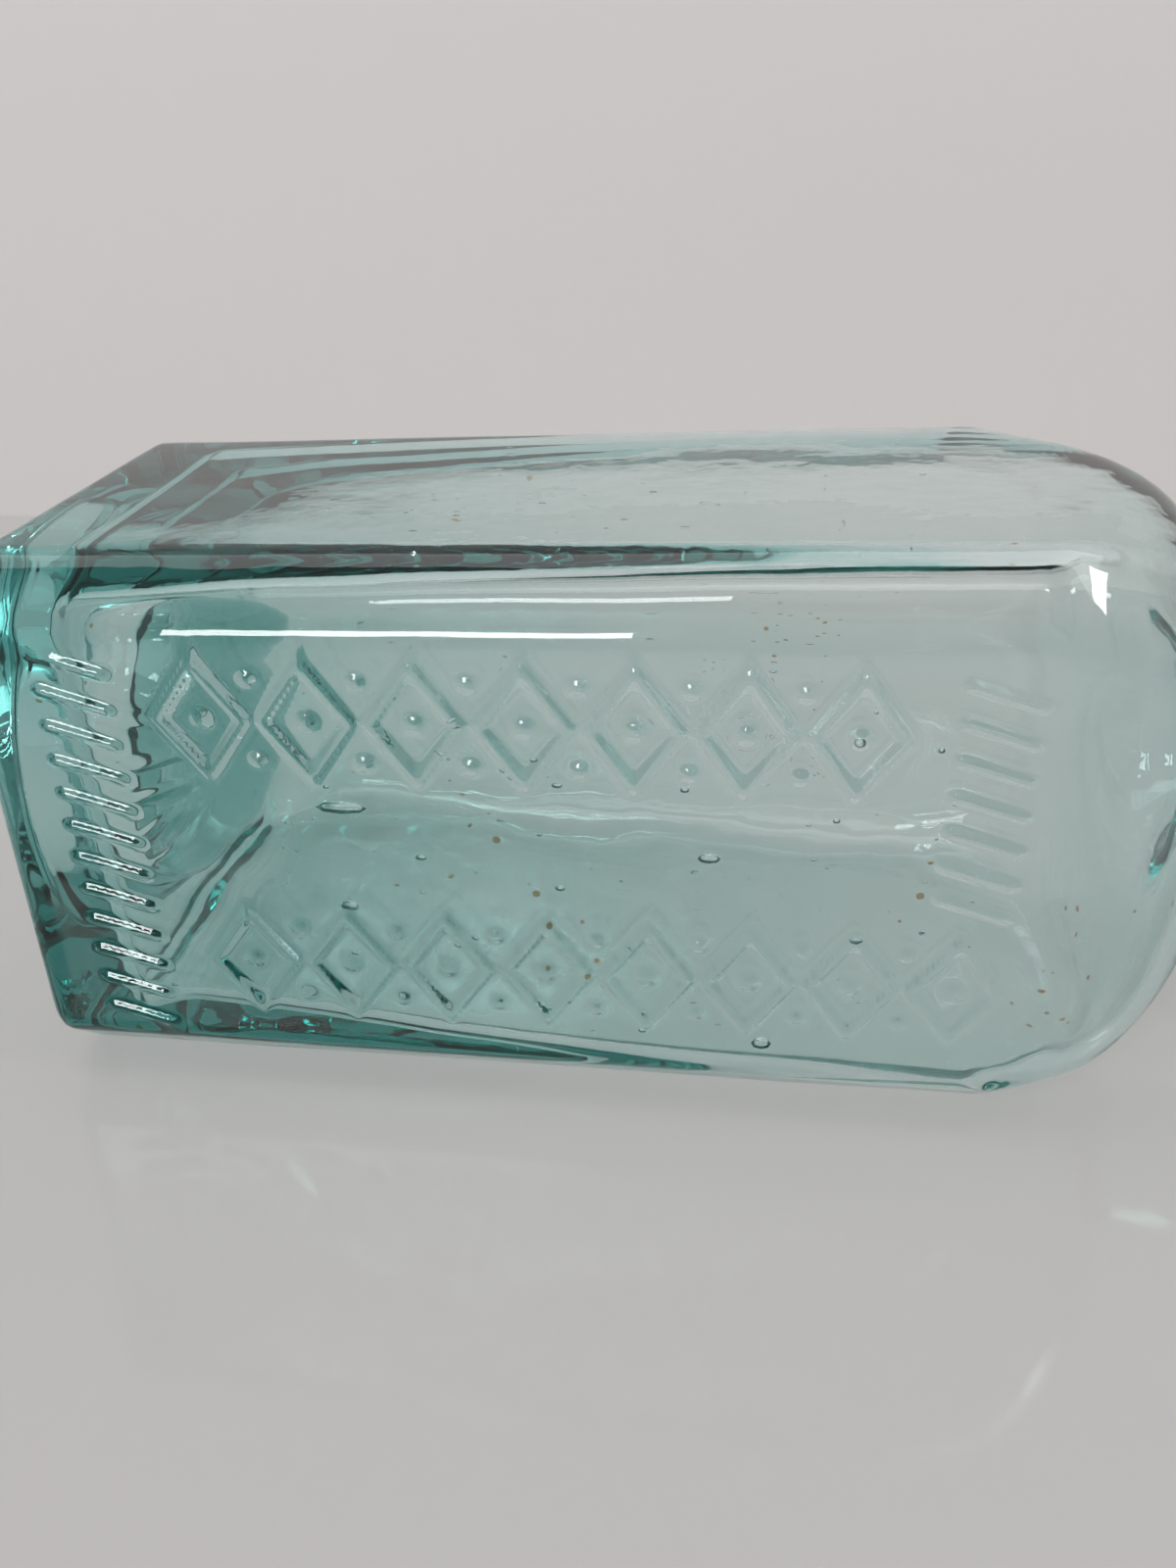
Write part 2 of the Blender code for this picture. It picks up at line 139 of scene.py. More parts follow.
glass = {
    "baseWidth": 0.078, "shoulderWidth": 0.084, "bodyLength": 0.1356,
    "cornerCut": 0.0084, "edgeSoftness": 0.0030, "heelRadius": 0.0032,
    "rimWidth": 0.0098, "rimRound": 0.0014, "pushUpHeight": 0.0145, "pushUpWall": 0.010,
    "baseThickness": 0.0095, "wallFoot": 0.0088, "wallTop": 0.0026, "thinningPower": 2,
    "shoulderWall": 0.0016, "shoulderThinPower": 3, "neckThickPower": 4,
    "innerCornerFoot": 0.0030, "innerCornerTop": 0.0090,
    "floorFillet": 0.0050, "floorLand": 0.001, "domeSideShare": 0.25,
    "shoulderReach": 0.028, "shoulderDrop": 0.0345, "shoulderBlend": 0.0060, "blendRunShare": 0.3,
    "neckFootRadius": 0.0155, "neckRadius": 0.0145, "neckFillet": 0.009, "neckLength": 0.030,
    "collarHeight": 0.020, "collarFlare": 0.0026, "collarFoot": 0.0022, "collarTopStep": 0.0006,
    "lipRound": 0.0016, "boreRadius": 0.0093, "mouthRadius": 0.0098, "seatDepth": 0.026,
    "sharpEdge": 0.0012,          # edge softness that the shoulder's curve starts from
    "edgeSpreadShare": 0.8,       # of the edge's softness, left to the closer columns over a cut corner
    # columns round the axis, rows along it by region, and the steps that find the shoulder's touch
    "frontColumns": 150, "sideColumns": 14, "cornerColumns": 6,
    "domeRows": 13, "brimRows": 5, "heelRows": 10, "bodyRows": 224, "shoulderRows": 30, "filletRows": 7,
    "neckRows": 8, "lipRows": 7, "innerLipRows": 6, "seatRows": 5, "innerShoulderRows": 26,
    "innerRows": 56, "floorRows": 9, "touchSteps": 40001,
}

# Lying frame: the axis climbs from base to mouth by the slope of the side that the bottle lies on
taper = (glass["shoulderWidth"] - glass["baseWidth"]) / 2 / glass["bodyLength"]
lean = math.atan(taper)
frontSide = 3  # sides are numbered from the resting one: 0 rests, 1 back, 2 top, 3 front


def halfWidth(height):
    # distance from the axis to a flat side, growing in a straight line
    return glass["baseWidth"] / 2 + height * taper


def flatHalf(height):
    # from the middle of a side to the edge of its flat
    return halfWidth(height) * (1 - glass["cornerCut"] / (glass["baseWidth"] / 2))


def columnTurns():
    # directions round the axis: even steps of the tangent across each side, closer ones over each cut
    # corner; the front has more, for its relief
    reach = (glass["baseWidth"] / 2 - glass["cornerCut"]) / (glass["baseWidth"] / 2)
    spread = glass["edgeSoftness"] * glass["edgeSpreadShare"] / glass["baseWidth"] * 2
    found = []
    for side in range(4):
        count = glass["frontColumns"] if side == frontSide else glass["sideColumns"]
        across = np.arctan(np.linspace(-(reach - spread), reach - spread, count))
        gap = np.linspace(across[-1], quarterTurn - across[-1], glass["cornerColumns"] * 2 + 2)[1:-1]
        found += [side * quarterTurn + across, side * quarterTurn + gap]
    found = np.concatenate(found)
    return found if len(found) % 2 == 0 else found[:-1]


turns = columnTurns()


def foldedTurns(turns):
    # each direction folded into one eighth of the section
    folded = np.arccos(np.abs(np.cos(turns)))
    return np.minimum(folded, quarterTurn - folded)


def cutSquare(half, turns, softness):
    # square with cut corners: the lesser of the distances to side and corner flat, with the edge rounded
    folded = foldedTurns(turns)
    cut = glass["cornerCut"] * half / (glass["baseWidth"] / 2)
    side = half / np.cos(folded)
    corner = (2 * half - cut) / (np.cos(folded) + np.sin(folded))
    return smoothLesser(side, corner, softness / 2)


def innerCorner(height):
    # the hollow's corner radius grows in a straight line from the floor to the shoulder
    share = np.clip(height / glass["bodyLength"], 0, 1)
    return glass["innerCornerFoot"] + (glass["innerCornerTop"] - glass["innerCornerFoot"]) * share


def wallAt(height):
    # the glass thins from the floor to the shoulder, fast at first, by a power of what is left of the body
    left = 1 - np.clip(height / glass["bodyLength"], 0, 1)
    return glass["wallTop"] + (glass["wallFoot"] - glass["wallTop"]) * left ** glass["thinningPower"]


def shoulderWallAt(height):
    # from the body's wall it thins to the shoulder's, and thickens late to what lies between neck and bore
    share = (height - glass["bodyLength"]) / (neckFoot - glass["bodyLength"])
    thin, thick = glass["shoulderWall"], glass["neckFootRadius"] - glass["boreRadius"]
    return (thin + (glass["wallTop"] - thin) * (1 - share) ** glass["shoulderThinPower"]
            + (thick - thin) * share ** glass["neckThickPower"])


def roundedSquare(half, corner, turns):
    # soft square, |x|^p + |y|^p = half^p, whose power gives the diagonal the reach of a round corner
    reach = 1 - (1 - math.sqrt(0.5)) * np.minimum(corner / half, 1)
    power = -math.log(2) / np.log(reach)
    folded = foldedTurns(turns)
    return half * (np.cos(folded) ** power + np.sin(folded) ** power) ** (-1 / power)


def shoulderLine(rows, filletRows):
    # side view of the shoulder: a quarter ellipse from the body's corners to where it touches the hollow
    # arc into the neck, then that arc; gives height, radius and outward normal
    start = float(cutSquare(halfWidth(glass["bodyLength"]), turns, glass["sharpEdge"]).max())
    turn = np.linspace(0, quarterTurn, glass["touchSteps"])
    up, across = np.sin(turn) / glass["shoulderReach"], np.cos(turn) / glass["shoulderDrop"]
    size = np.hypot(up, across)
    radius = start - glass["shoulderDrop"] * (1 - np.cos(turn))
    beyond = radius + glass["neckFillet"] * across / size > glass["neckFootRadius"] + glass["neckFillet"]
    touch = turn[beyond][-1]
    turn = np.linspace(0, touch, rows)
    up, across = np.sin(turn) / glass["shoulderReach"], np.cos(turn) / glass["shoulderDrop"]
    size = np.hypot(up, across)
    up, across = up / size, across / size
    height = glass["bodyLength"] + glass["shoulderReach"] * np.sin(turn)
    radius = start - glass["shoulderDrop"] * (1 - np.cos(turn))
    middleHeight = height[-1] + glass["neckFillet"] * up[-1]
    middleRadius = radius[-1] + glass["neckFillet"] * across[-1]
    first = math.atan2(across[-1], up[-1])
    angle = first + (quarterTurn - first) * np.arange(1, filletRows + 1) / filletRows
    return (np.concatenate((height, middleHeight - glass["neckFillet"] * np.cos(angle))),
            np.concatenate((radius, middleRadius - glass["neckFillet"] * np.sin(angle))),
            np.concatenate((up, np.cos(angle))), np.concatenate((across, np.sin(angle))))


neckFoot = float(shoulderLine(glass["shoulderRows"], glass["filletRows"])[0][-1])
collarFoot = neckFoot + glass["neckLength"]
mouth = collarFoot + glass["collarHeight"]
rim = float(halfWidth(glass["heelRadius"])) - glass["heelRadius"]
pushUpRadius = rim - glass["rimWidth"] - glass["rimRound"]
footReach = rim * math.sin(lean)  # how far the base's low corner reaches back past the middle of the base


def blendAt(height):
    # width of the blend between body and shoulder, growing in a straight line from nothing
    run = (height - glass["bodyLength"]) / (glass["shoulderReach"] * glass["blendRunShare"])
    return glass["shoulderBlend"] * np.clip(run, 0, 1)


def collarLine():
    # side view of the finish: straight neck, an eased flare, a long taper and a quarter round at the lip
    neck = np.linspace(0, 1, glass["neckRows"])[1:-1]
    rise = np.linspace(0, 1, glass["neckRows"])
    flare = glass["neckRadius"] + glass["collarFlare"] * easeIn(rise)
    top = glass["neckRadius"] + glass["collarTopStep"]
    fall, taperFoot = rise[1:], collarFoot + glass["collarFoot"] * 2
    bend = np.linspace(0, quarterTurn, glass["lipRows"])[1:]
    heights = np.concatenate((
        neckFoot + neck * glass["neckLength"], collarFoot + rise * glass["collarFoot"],
        taperFoot + fall * (mouth - glass["lipRound"] - taperFoot),
        mouth - glass["lipRound"] * (1 - np.sin(bend))))
    radii = np.concatenate((
        glass["neckFootRadius"] + neck * (glass["neckRadius"] - glass["neckFootRadius"]), flare,
        flare[-1] + fall * (glass["collarTopStep"] - glass["collarFlare"]),
        top - glass["lipRound"] * (1 - np.cos(bend))))
    return heights, radii


def outerSkin(turns):
    # rows from the top of the push-up over its mouth, the heel, the sides, the shoulder and the finish
    rise = np.linspace(0, quarterTurn, glass["domeRows"])[1:, None]
    depth = glass["pushUpHeight"] - glass["rimRound"]
    dome = ringPoints(pushUpRadius * np.sin(rise) + 0 * turns,
                      glass["rimRound"] + depth * np.cos(rise), turns)
    bend = np.linspace(0, quarterTurn, glass["brimRows"])[1:, None]
    brim = ringPoints(pushUpRadius + glass["rimRound"] * (1 - np.cos(bend)) + 0 * turns,
                      glass["rimRound"] * (1 - np.sin(bend)), turns)
    bend = np.linspace(0, quarterTurn, glass["heelRows"])[:, None]
    heel = ringPoints(cutSquare(rim + glass["heelRadius"] * np.sin(bend), turns, glass["edgeSoftness"]),
                      glass["heelRadius"] * (1 - np.cos(bend)), turns)
    height = np.linspace(glass["heelRadius"], glass["bodyLength"], glass["bodyRows"])[1:-1, None]
    sides = ringPoints(cutSquare(halfWidth(height), turns, glass["edgeSoftness"]), height, turns)
    line = shoulderLine(glass["shoulderRows"], glass["filletRows"])
    height, limit, _, _ = (row[:, None] for row in line)
    section = cutSquare(halfWidth(height), turns, glass["edgeSoftness"])
    shoulder = ringPoints(smoothLesser(section, limit, blendAt(height)), height, turns)
    height, radius = (row[:, None] for row in collarLine())
    finish = ringPoints(radius + 0 * turns, height, turns)
    return np.concatenate((dome, brim, heel, sides, shoulder, finish))


def innerSection(height, turns):
    # soft square inside the outer one, less the wall
    return roundedSquare(halfWidth(height) - wallAt(height), innerCorner(height), turns)


def innerSkin(turns):
    # rows from the lip down the bore, the inner shoulder, the walls and the floor to the dome inside
    bend = np.linspace(0, quarterTurn, glass["innerLipRows"])[:, None]
    lip = ringPoints(glass["mouthRadius"] + glass["lipRound"] * (1 - np.sin(bend)) + 0 * turns,
                     mouth - glass["lipRound"] * (1 - np.cos(bend)), turns)
    drop = np.linspace(0, 1, glass["seatRows"])[1:, None]
    narrowing = glass["boreRadius"] - glass["mouthRadius"]
    seat = ringPoints(glass["mouthRadius"] + narrowing * drop + 0 * turns,
                      mouth - glass["lipRound"] - (glass["seatDepth"] - glass["lipRound"]) * drop, turns)
    line = shoulderLine(glass["innerShoulderRows"], glass["filletRows"])
    height, limit, up, across = (row[::-1, None] for row in line)
    wall = shoulderWallAt(height)
    inner = height - wall * up
    reach = smoothLesser(innerSection(inner, turns), limit - wall * across, blendAt(height))
    shoulder = ringPoints(reach, inner, turns)
    domeHeight = glass["pushUpHeight"] + glass["pushUpWall"]
    domeRadius = pushUpRadius + glass["pushUpWall"] * glass["domeSideShare"]
    domeTurn = math.acos(min(glass["baseThickness"] / domeHeight, 1))
    filletTop = glass["baseThickness"] + glass["floorFillet"]
    half = float(halfWidth(filletTop) - wallAt(filletTop))
    fillet = min(glass["floorFillet"], half - domeRadius * math.sin(domeTurn) - glass["floorLand"])
    top = glass["baseThickness"] + fillet
    height = np.linspace(glass["bodyLength"], top, glass["innerRows"])[1:-1, None]
    walls = ringPoints(innerSection(height, turns), height, turns)
    bend = np.linspace(0, quarterTurn, glass["floorRows"])[:, None]
    shrunk = 1 - fillet * (1 - np.cos(bend)) / (halfWidth(top) - wallAt(top))
    floor = ringPoints(innerSection(top, turns) * shrunk, top - fillet * np.sin(bend), turns)
    fall = domeTurn * (1 - np.arange(glass["floorRows"]) / glass["floorRows"])[:, None]
    dome = ringPoints(domeRadius * np.sin(fall) + 0 * turns, domeHeight * np.cos(fall), turns)
    return np.concatenate((lip, seat, shoulder, walls, floor, dome))


# The raised pattern on the front

relief = {
    "height": 0.00095, "halfWidth": 0.00125, "foot": 0.0016,
    "lozengeHeight": 0.0156, "lozengeGap": 0.0003, "beadRadius": 0.0021,
    "smallBead": 0.0016, "smallBeadOut": 0.0056,
    "upperMargin": 0.0028, "lowerMargin": 0.0069,
    "upperGap": 0.0042, "lowerGap": 0.0062, "lowerEnd": 0.0006,
    "upperCount": 7, "lowerCount": 8,
    "ribPitch": 0.00495, "ribLength": 0.0084, "ribSlant": 0.0026,
    "baseRibs": 0.0150, "baseRibsMargin": 0.0034, "baseRibCount": 12,
    "shoulderRibs": 0.0066, "shoulderRibsMargin": 0.0063, "shoulderRibCount": 7,
    "frontLimit": 0.04230,        # nothing on the front stands further from the middle than this
}


def ridge(distance, reach):
    # raised cosine across a line, from one on the line to nothing at the reach
    return 0.5 + 0.5 * np.cos(math.pi * np.minimum(np.abs(distance) / reach, 1))


def lozengeRows():
    # pitch of the lozenges and, per row, the middle of the first one, its place across and the count; the
    # rows start where the base's ribs end, and their place across follows the edge of the flat
    ribsEnd = relief["baseRibs"] + (relief["ribLength"] + relief["foot"]) / 2
    pitch = (glass["bodyLength"] - ribsEnd - relief["lowerGap"] - relief["lowerEnd"]) / relief["lowerCount"]
    rows = []
    for name, side in (("upper", -1), ("lower", 1)):
        first = ribsEnd + relief[name + "Gap"] + pitch / 2
        across = flatHalf(first) - relief[name + "Margin"] - relief["lozengeHeight"] / 2
        rows.append((first, side * across, relief[name + "Count"]))
    return pitch, rows


def ribRows():
    # per row of ribs: its place along the bottle, the first rib's margin on the flat and the count
    nearShoulder = glass["bodyLength"] - relief["shoulderRibs"]
    return ((relief["baseRibs"], relief["baseRibsMargin"], relief["baseRibCount"]),
            (nearShoulder, relief["shoulderRibsMargin"], relief["shoulderRibCount"]))


def lozengeShape(along, across):
    # ridges over the distance to each lozenge's outline, to its middle bead and to small beads between
    shape = np.zeros_like(along)
    pitch, rows = lozengeRows()
    halfHeight = relief["lozengeHeight"] / 2
    reach = (pitch - relief["lozengeGap"]) / 2
    halfLength = reach - relief["foot"] / 2 * math.hypot(1, reach / halfHeight)
    for first, place, count in rows:
        step = np.clip(np.round((along - first) / pitch), 0, count - 1)
        lengthwise = along - first - step * pitch
        crosswise = across - place
        rhomb = np.abs(lengthwise) / halfLength + np.abs(crosswise) / halfHeight - 1
        outline = rhomb / math.hypot(1 / halfLength, 1 / halfHeight)
        shape = np.maximum(shape, ridge(outline, relief["halfWidth"]))
        shape = np.maximum(shape, ridge(np.hypot(lengthwise, crosswise), relief["beadRadius"]))
        between = np.clip(np.round((along - first) / pitch - 0.5), 0, count - 2)
        lengthwise = along - first - (between + 0.5) * pitch
        apart = np.hypot(lengthwise, np.abs(crosswise) - relief["smallBeadOut"])
        shape = np.maximum(shape, ridge(apart, relief["smallBead"]))
    return shape


def ribShape(along, across):
    # ridges over the distance to short slanted lines, in a row across each end of the front
    shape = np.zeros_like(along)
    for place, margin, count in ribRows():
        first = margin - flatHalf(place)
        step = np.clip(np.round((across - first) / relief["ribPitch"]), 0, count - 1)
        share = np.clip((along - place) / (relief["ribLength"] / 2), -1, 1)
        crosswise = across - first - step * relief["ribPitch"] - share * relief["ribSlant"] / 2
        lengthwise = along - place - share * relief["ribLength"] / 2
        shape = np.maximum(shape, ridge(np.hypot(lengthwise, crosswise), relief["halfWidth"]))
    return shape


# The unevenness of blown glass

outerWaves = {"seed": 11, "count": 26, "longest": 0.030, "shortest": 0.0045, "stretch": (1.0, 1.0, 0.6)}
innerWaves = {"seed": 23, "count": 26, "longest": 0.060, "shortest": 0.0080, "stretch": (1.0, 1.0, 0.7)}
unevenness = {
    "outer": 0.00007, "outerCrest": 1.2, "offBodyShare": 0.35, "poleRun": 0.012,
    "bodyStart": 0.004, "bodyStartRun": 0.012, "bodyEndRun": 0.020,
    "sideSink": 0.00030,          # how far the middle of each side has shrunk in
    "sinkPastBody": 0.012, "sinkEndRun": 0.020,
    "inner": 0.00028, "domeMiddle": 0.004, "domeRun": 0.020, "boreGap": 0.004, "boreRun": 0.020,
    "rise": 0.0007, "riseStart": 0.012, "riseRun": 0.030,
    "restThick": 0.0045, "restHalf": 0.030, "restStart": 0.010, "restRun": 0.012,
    "smallestRadius": 0.004,      # nearer the axis, a radial shift fades instead of growing as a share
}


def dressOuter(points):
    # sides shrunk in at their middle by a parabola, the blown glass's unevenness, and the front's relief
    height, smallest = points[..., 2], unevenness["smallestRadius"]
    across = np.minimum(np.abs(points[..., 0]), np.abs(points[..., 1]))
    flat = halfWidth(height) - glass["cornerCut"]
    onBody = (easeIn((height - unevenness["bodyStart"]) / unevenness["bodyStartRun"])
              * easeIn((neckFoot - height) / unevenness["bodyEndRun"]))
    sinkEnd = glass["bodyLength"] + unevenness["sinkPastBody"]
    sink = unevenness["sideSink"] * np.clip(1 - (across / flat) ** 2, 0, 1) * onBody
    sink = sink * easeIn((sinkEnd - height) / unevenness["sinkEndRun"])
    uneven = unevenness["outer"] * np.minimum(ripples(points, outerWaves) - unevenness["outerCrest"], 0)
    strength = unevenness["offBodyShare"] + (1 - unevenness["offBodyShare"]) * onBody
    radial = np.hypot(points[..., 0], points[..., 1])
    shift = uneven * strength * easeIn(radial / unevenness["poleRun"]) - sink
    out = points.copy()
    out[..., :2] *= (1 + shift / np.maximum(radial, smallest))[..., None]
    facesFront = -points[..., 1] >= np.abs(points[..., 0])
    isFront = facesFront & (height > glass["heelRadius"]) & (height < neckFoot)
    room = relief["frontLimit"] + out[..., 1]
    shape = np.maximum(lozengeShape(height, points[..., 0]), ribShape(height, points[..., 0]))
    out[..., 1] -= shape * np.clip(room, 0, relief["height"]) * isFront
    return out


def dressInner(points):
    # the inner walls wander more than the outer ones, apart from the bore and the middle of the dome; the
    # hollow lies a little high, and its lower half rises further towards the base, in straight lines over
    # the height and over the way out from the axis, so that the resting side is the thickest
    height = points[..., 2]
    radial = np.hypot(points[..., 0], points[..., 1])
    boreFoot = neckFoot - unevenness["boreGap"]
    free = (easeIn((boreFoot - height) / unevenness["boreRun"])
            * easeIn((radial - unevenness["domeMiddle"]) / unevenness["domeRun"]))
    wander = unevenness["inner"] * ripples(points, innerWaves) * free
    out = points.copy()
    out[..., :2] *= (1 + wander / np.maximum(radial, unevenness["smallestRadius"]))[..., None]
    high = (easeIn((height - unevenness["riseStart"]) / unevenness["riseRun"])
            * easeIn((boreFoot - height) / unevenness["riseRun"]))
    out[..., 0] -= unevenness["rise"] * high
    left = 1 - np.clip(height / glass["bodyLength"], 0, 1)
    lower = (np.clip(points[..., 0] / unevenness["restHalf"], 0, 1)
             * easeIn((height - unevenness["restStart"]) / unevenness["restRun"]))
    out[..., 0] -= unevenness["restThick"] * left * lower
    return out


# Bubbles in the glass

bubbles = {
    "seed": 5, "count": 190, "columns": 8, "rows": 3,
    "smallest": 0.00012, "largest": 0.00048, "sizePower": 1.7, "longShare": 1.9, "flatShare": 0.8,
    "from": 0.018, "to": 0.130, "acrossReach": 0.027, "shallowest": 0.0010, "deepest": 0.0028,
    "sideShares": (0.16, 0.20, 0.22, 0.42),  # resting side, back, top and front
    "big": (  # along, across, side, half length, half width, half thickness
        (0.0474, -0.0076, 3, 0.0034, 0.00095, 0.00060), (0.0470, 0.0077, 3, 0.0013, 0.00085, 0.00060),
        (0.0574, -0.0005, 3, 0.0008, 0.00045, 0.00040), (0.0758, 0.0034, 3, 0.0007, 0.00045, 0.00040),
        (0.0918, -0.0120, 3, 0.0006, 0.00040, 0.00035), (0.0952, -0.0021, 3, 0.0015, 0.00080, 0.00055),
        (0.1035, 0.0276, 3, 0.0014, 0.00110, 0.00060), (0.0620, 0.0100, 2, 0.0020, 0.00060, 0.00050),
        (0.1050, -0.0080, 1, 0.0026, 0.00080, 0.00060), (0.0840, 0.0150, 1, 0.0010, 0.00060, 0.00050),
    ),
    "bigDepth": 0.0019, "cover": 0.0007,
}


def bubbleBall():
    # a unit ball in rows and columns, with its poles on the first direction; gives points, quads and fans
    columns, rows = bubbles["columns"], bubbles["rows"]
    fall = np.linspace(0, math.pi, rows + 2)[1:-1, None]
    around = np.arange(columns) * 2 * math.pi / columns
    parts = np.cos(fall), np.sin(fall) * np.cos(around), np.sin(fall) * np.sin(around)
    ball = np.stack(np.broadcast_arrays(*parts), axis=-1).reshape(-1, 3)
    numbers = np.arange(1, 1 + rows * columns).reshape(rows, -1)
    caps = np.concatenate((poleTriangles(0, numbers[0], True),
                           poleTriangles(numbers[-1, -1] + 1, numbers[-1], False)))
    return np.concatenate(([[1.0, 0, 0]], ball, [[-1.0, 0, 0]])), gridQuads(numbers), caps


def bubbleSkins():
    # small drawn-out ellipsoids inside the wall, faces turned into the bubble; a few big ones are placed
    maker = np.random.default_rng(bubbles["seed"])
    count = bubbles["count"]
    along = maker.uniform(bubbles["from"], bubbles["to"], count)
    across = maker.uniform(-bubbles["acrossReach"], bubbles["acrossReach"], count)
    side = maker.choice(4, count, p=bubbles["sideShares"])
    grown = maker.uniform(0, 1, count) ** bubbles["sizePower"]
    size = bubbles["smallest"] * (bubbles["largest"] / bubbles["smallest"]) ** grown
    drawn = size * maker.uniform(1, bubbles["longShare"], count)
    halves = np.stack((drawn, size, size * bubbles["flatShare"]), axis=-1)
    big = np.array(bubbles["big"])
    along, across = np.concatenate((big[:, 0], along)), np.concatenate((big[:, 1], across))
    side, halves = np.concatenate((big[:, 2].astype(int), side)), np.concatenate((big[:, 3:], halves))
    depth = np.maximum(bubbles["bigDepth"] + 0 * along, halves[:, 2] + bubbles["cover"])
    depth[len(big):] = maker.uniform(bubbles["shallowest"], bubbles["deepest"], count)
    heading = side * quarterTurn
    outward = np.stack((np.cos(heading), np.sin(heading), 0 * along), axis=-1)
    sideways = np.stack((np.abs(np.sin(heading)), np.abs(np.cos(heading)), 0 * along), axis=-1)
    centre = outward * (halfWidth(along) - depth)[:, None] + sideways * across[:, None]
    centre[:, 2] = along
    ball, quads, caps = bubbleBall()
    spans = ball[None] * halves[:, None]
    lengthwise = np.array([0.0, 0, 1.0])
    points = (centre[:, None] + spans[..., :1] * lengthwise + spans[..., 1:2] * sideways[:, None]
              + spans[..., 2:] * outward[:, None])
    shift = (np.arange(len(points)) * len(ball))[:, None, None]
    axes = np.stack((np.broadcast_to(lengthwise, outward.shape), sideways, outward), axis=1)
    turned = (np.linalg.det(axes) > 0)[:, None, None]
    quads = np.where(turned, quads[None], quads[None, :, ::-1]) + shift
    caps = np.where(turned, caps[None], caps[None, :, ::-1]) + shift
    return points.reshape(-1, 3), quads.reshape(-1, 4), caps.reshape(-1, 3)


# Both pieces in their places

def layDown(points):
    # from the bottle's own upright axes into the lying frame: turned by the lean, then moved to the floor
    out, across, along = points[..., 0], points[..., 1], points[..., 2]
    foot, middle = cadBox[0][0] + footReach, halfWidth(0) * math.cos(lean)
    return np.stack((out * math.sin(lean) + along * math.cos(lean) + foot, across,
                     -out * math.cos(lean) + along * math.sin(lean) + middle), axis=-1)


def makeGlass():
    # outer and inner skins joined at the lip, where two columns of the outer meet one of the inner, and the
    # bubbles
    outer = dressOuter(outerSkin(turns))
    inner = dressInner(innerSkin(turns[::2]))
    outerNumbers = 1 + np.arange(outer.shape[0] * outer.shape[1]).reshape(outer.shape[:2])
    innerNumbers = np.arange(inner.shape[0] * inner.shape[1]).reshape(inner.shape[:2])
    innerNumbers = innerNumbers + outerNumbers[-1, -1] + 1
    last = innerNumbers[-1, -1] + 1
    fine, coarse = outerNumbers[-1], innerNumbers[0]
    nextFine, nextCoarse = np.roll(fine, -2)[::2], np.roll(coarse, -1)
    stitches = np.concatenate((np.stack((fine[::2], fine[1::2], coarse), axis=-1),
                               np.stack((fine[1::2], nextCoarse, coarse), axis=-1),
                               np.stack((fine[1::2], nextFine, nextCoarse), axis=-1)))
    apexes = np.array([[0, 0, glass["pushUpHeight"]], [0, 0, glass["pushUpHeight"] + glass["pushUpWall"]]])
    points = np.concatenate((apexes[:1], outer.reshape(-1, 3), inner.reshape(-1, 3), apexes[1:]))
    bubblePoints, bubbleQuads, bubbleCaps = bubbleSkins()
    quads = np.concatenate((gridQuads(outerNumbers), gridQuads(innerNumbers), bubbleQuads + len(points)))
    triangles = np.concatenate((poleTriangles(0, outerNumbers[0], True), stitches,
                                poleTriangles(last, innerNumbers[-1], False), bubbleCaps + len(points)))
    obj = meshFromArrays("glassBody", layDown(np.concatenate((points, bubblePoints))), quads, triangles)
    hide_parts("glass_bottle")
    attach(obj, "bottle")
    return obj


glassBody = makeGlass()
volume, count = enclosedVolume(glassBody)
print("glass: %d triangles, %.1f cm3" % (count, volume * cubicCentimetres))

cork = {
    "length": 0.033, "proud": 0.0085, "clearance": 0.0003, "edge": 0.0010,
    "columns": 120, "rows": 72, "capRows": 12, "edgeRows": 6,
    "pitDepth": 0.00045, "pitLevel": 0.62, "pitSpan": 0.5,
    "sideFrom": 0.0070, "sideRun": 0.0015,  # radii where pits turn from the ends' to the side's
    "smallestRadius": 0.002,
}
corkWaves = {"seed": 41, "count": 40, "longest": 0.006, "shortest": 0.0011, "stretch": (1.0, 1.0, 1.0)}


def corkRadius(height):
    # follows the widening of the bore, less the clearance
    share = (height - (mouth - glass["seatDepth"])) / glass["seatDepth"]
    return glass["boreRadius"] + (glass["mouthRadius"] - glass["boreRadius"]) * share - cork["clearance"]


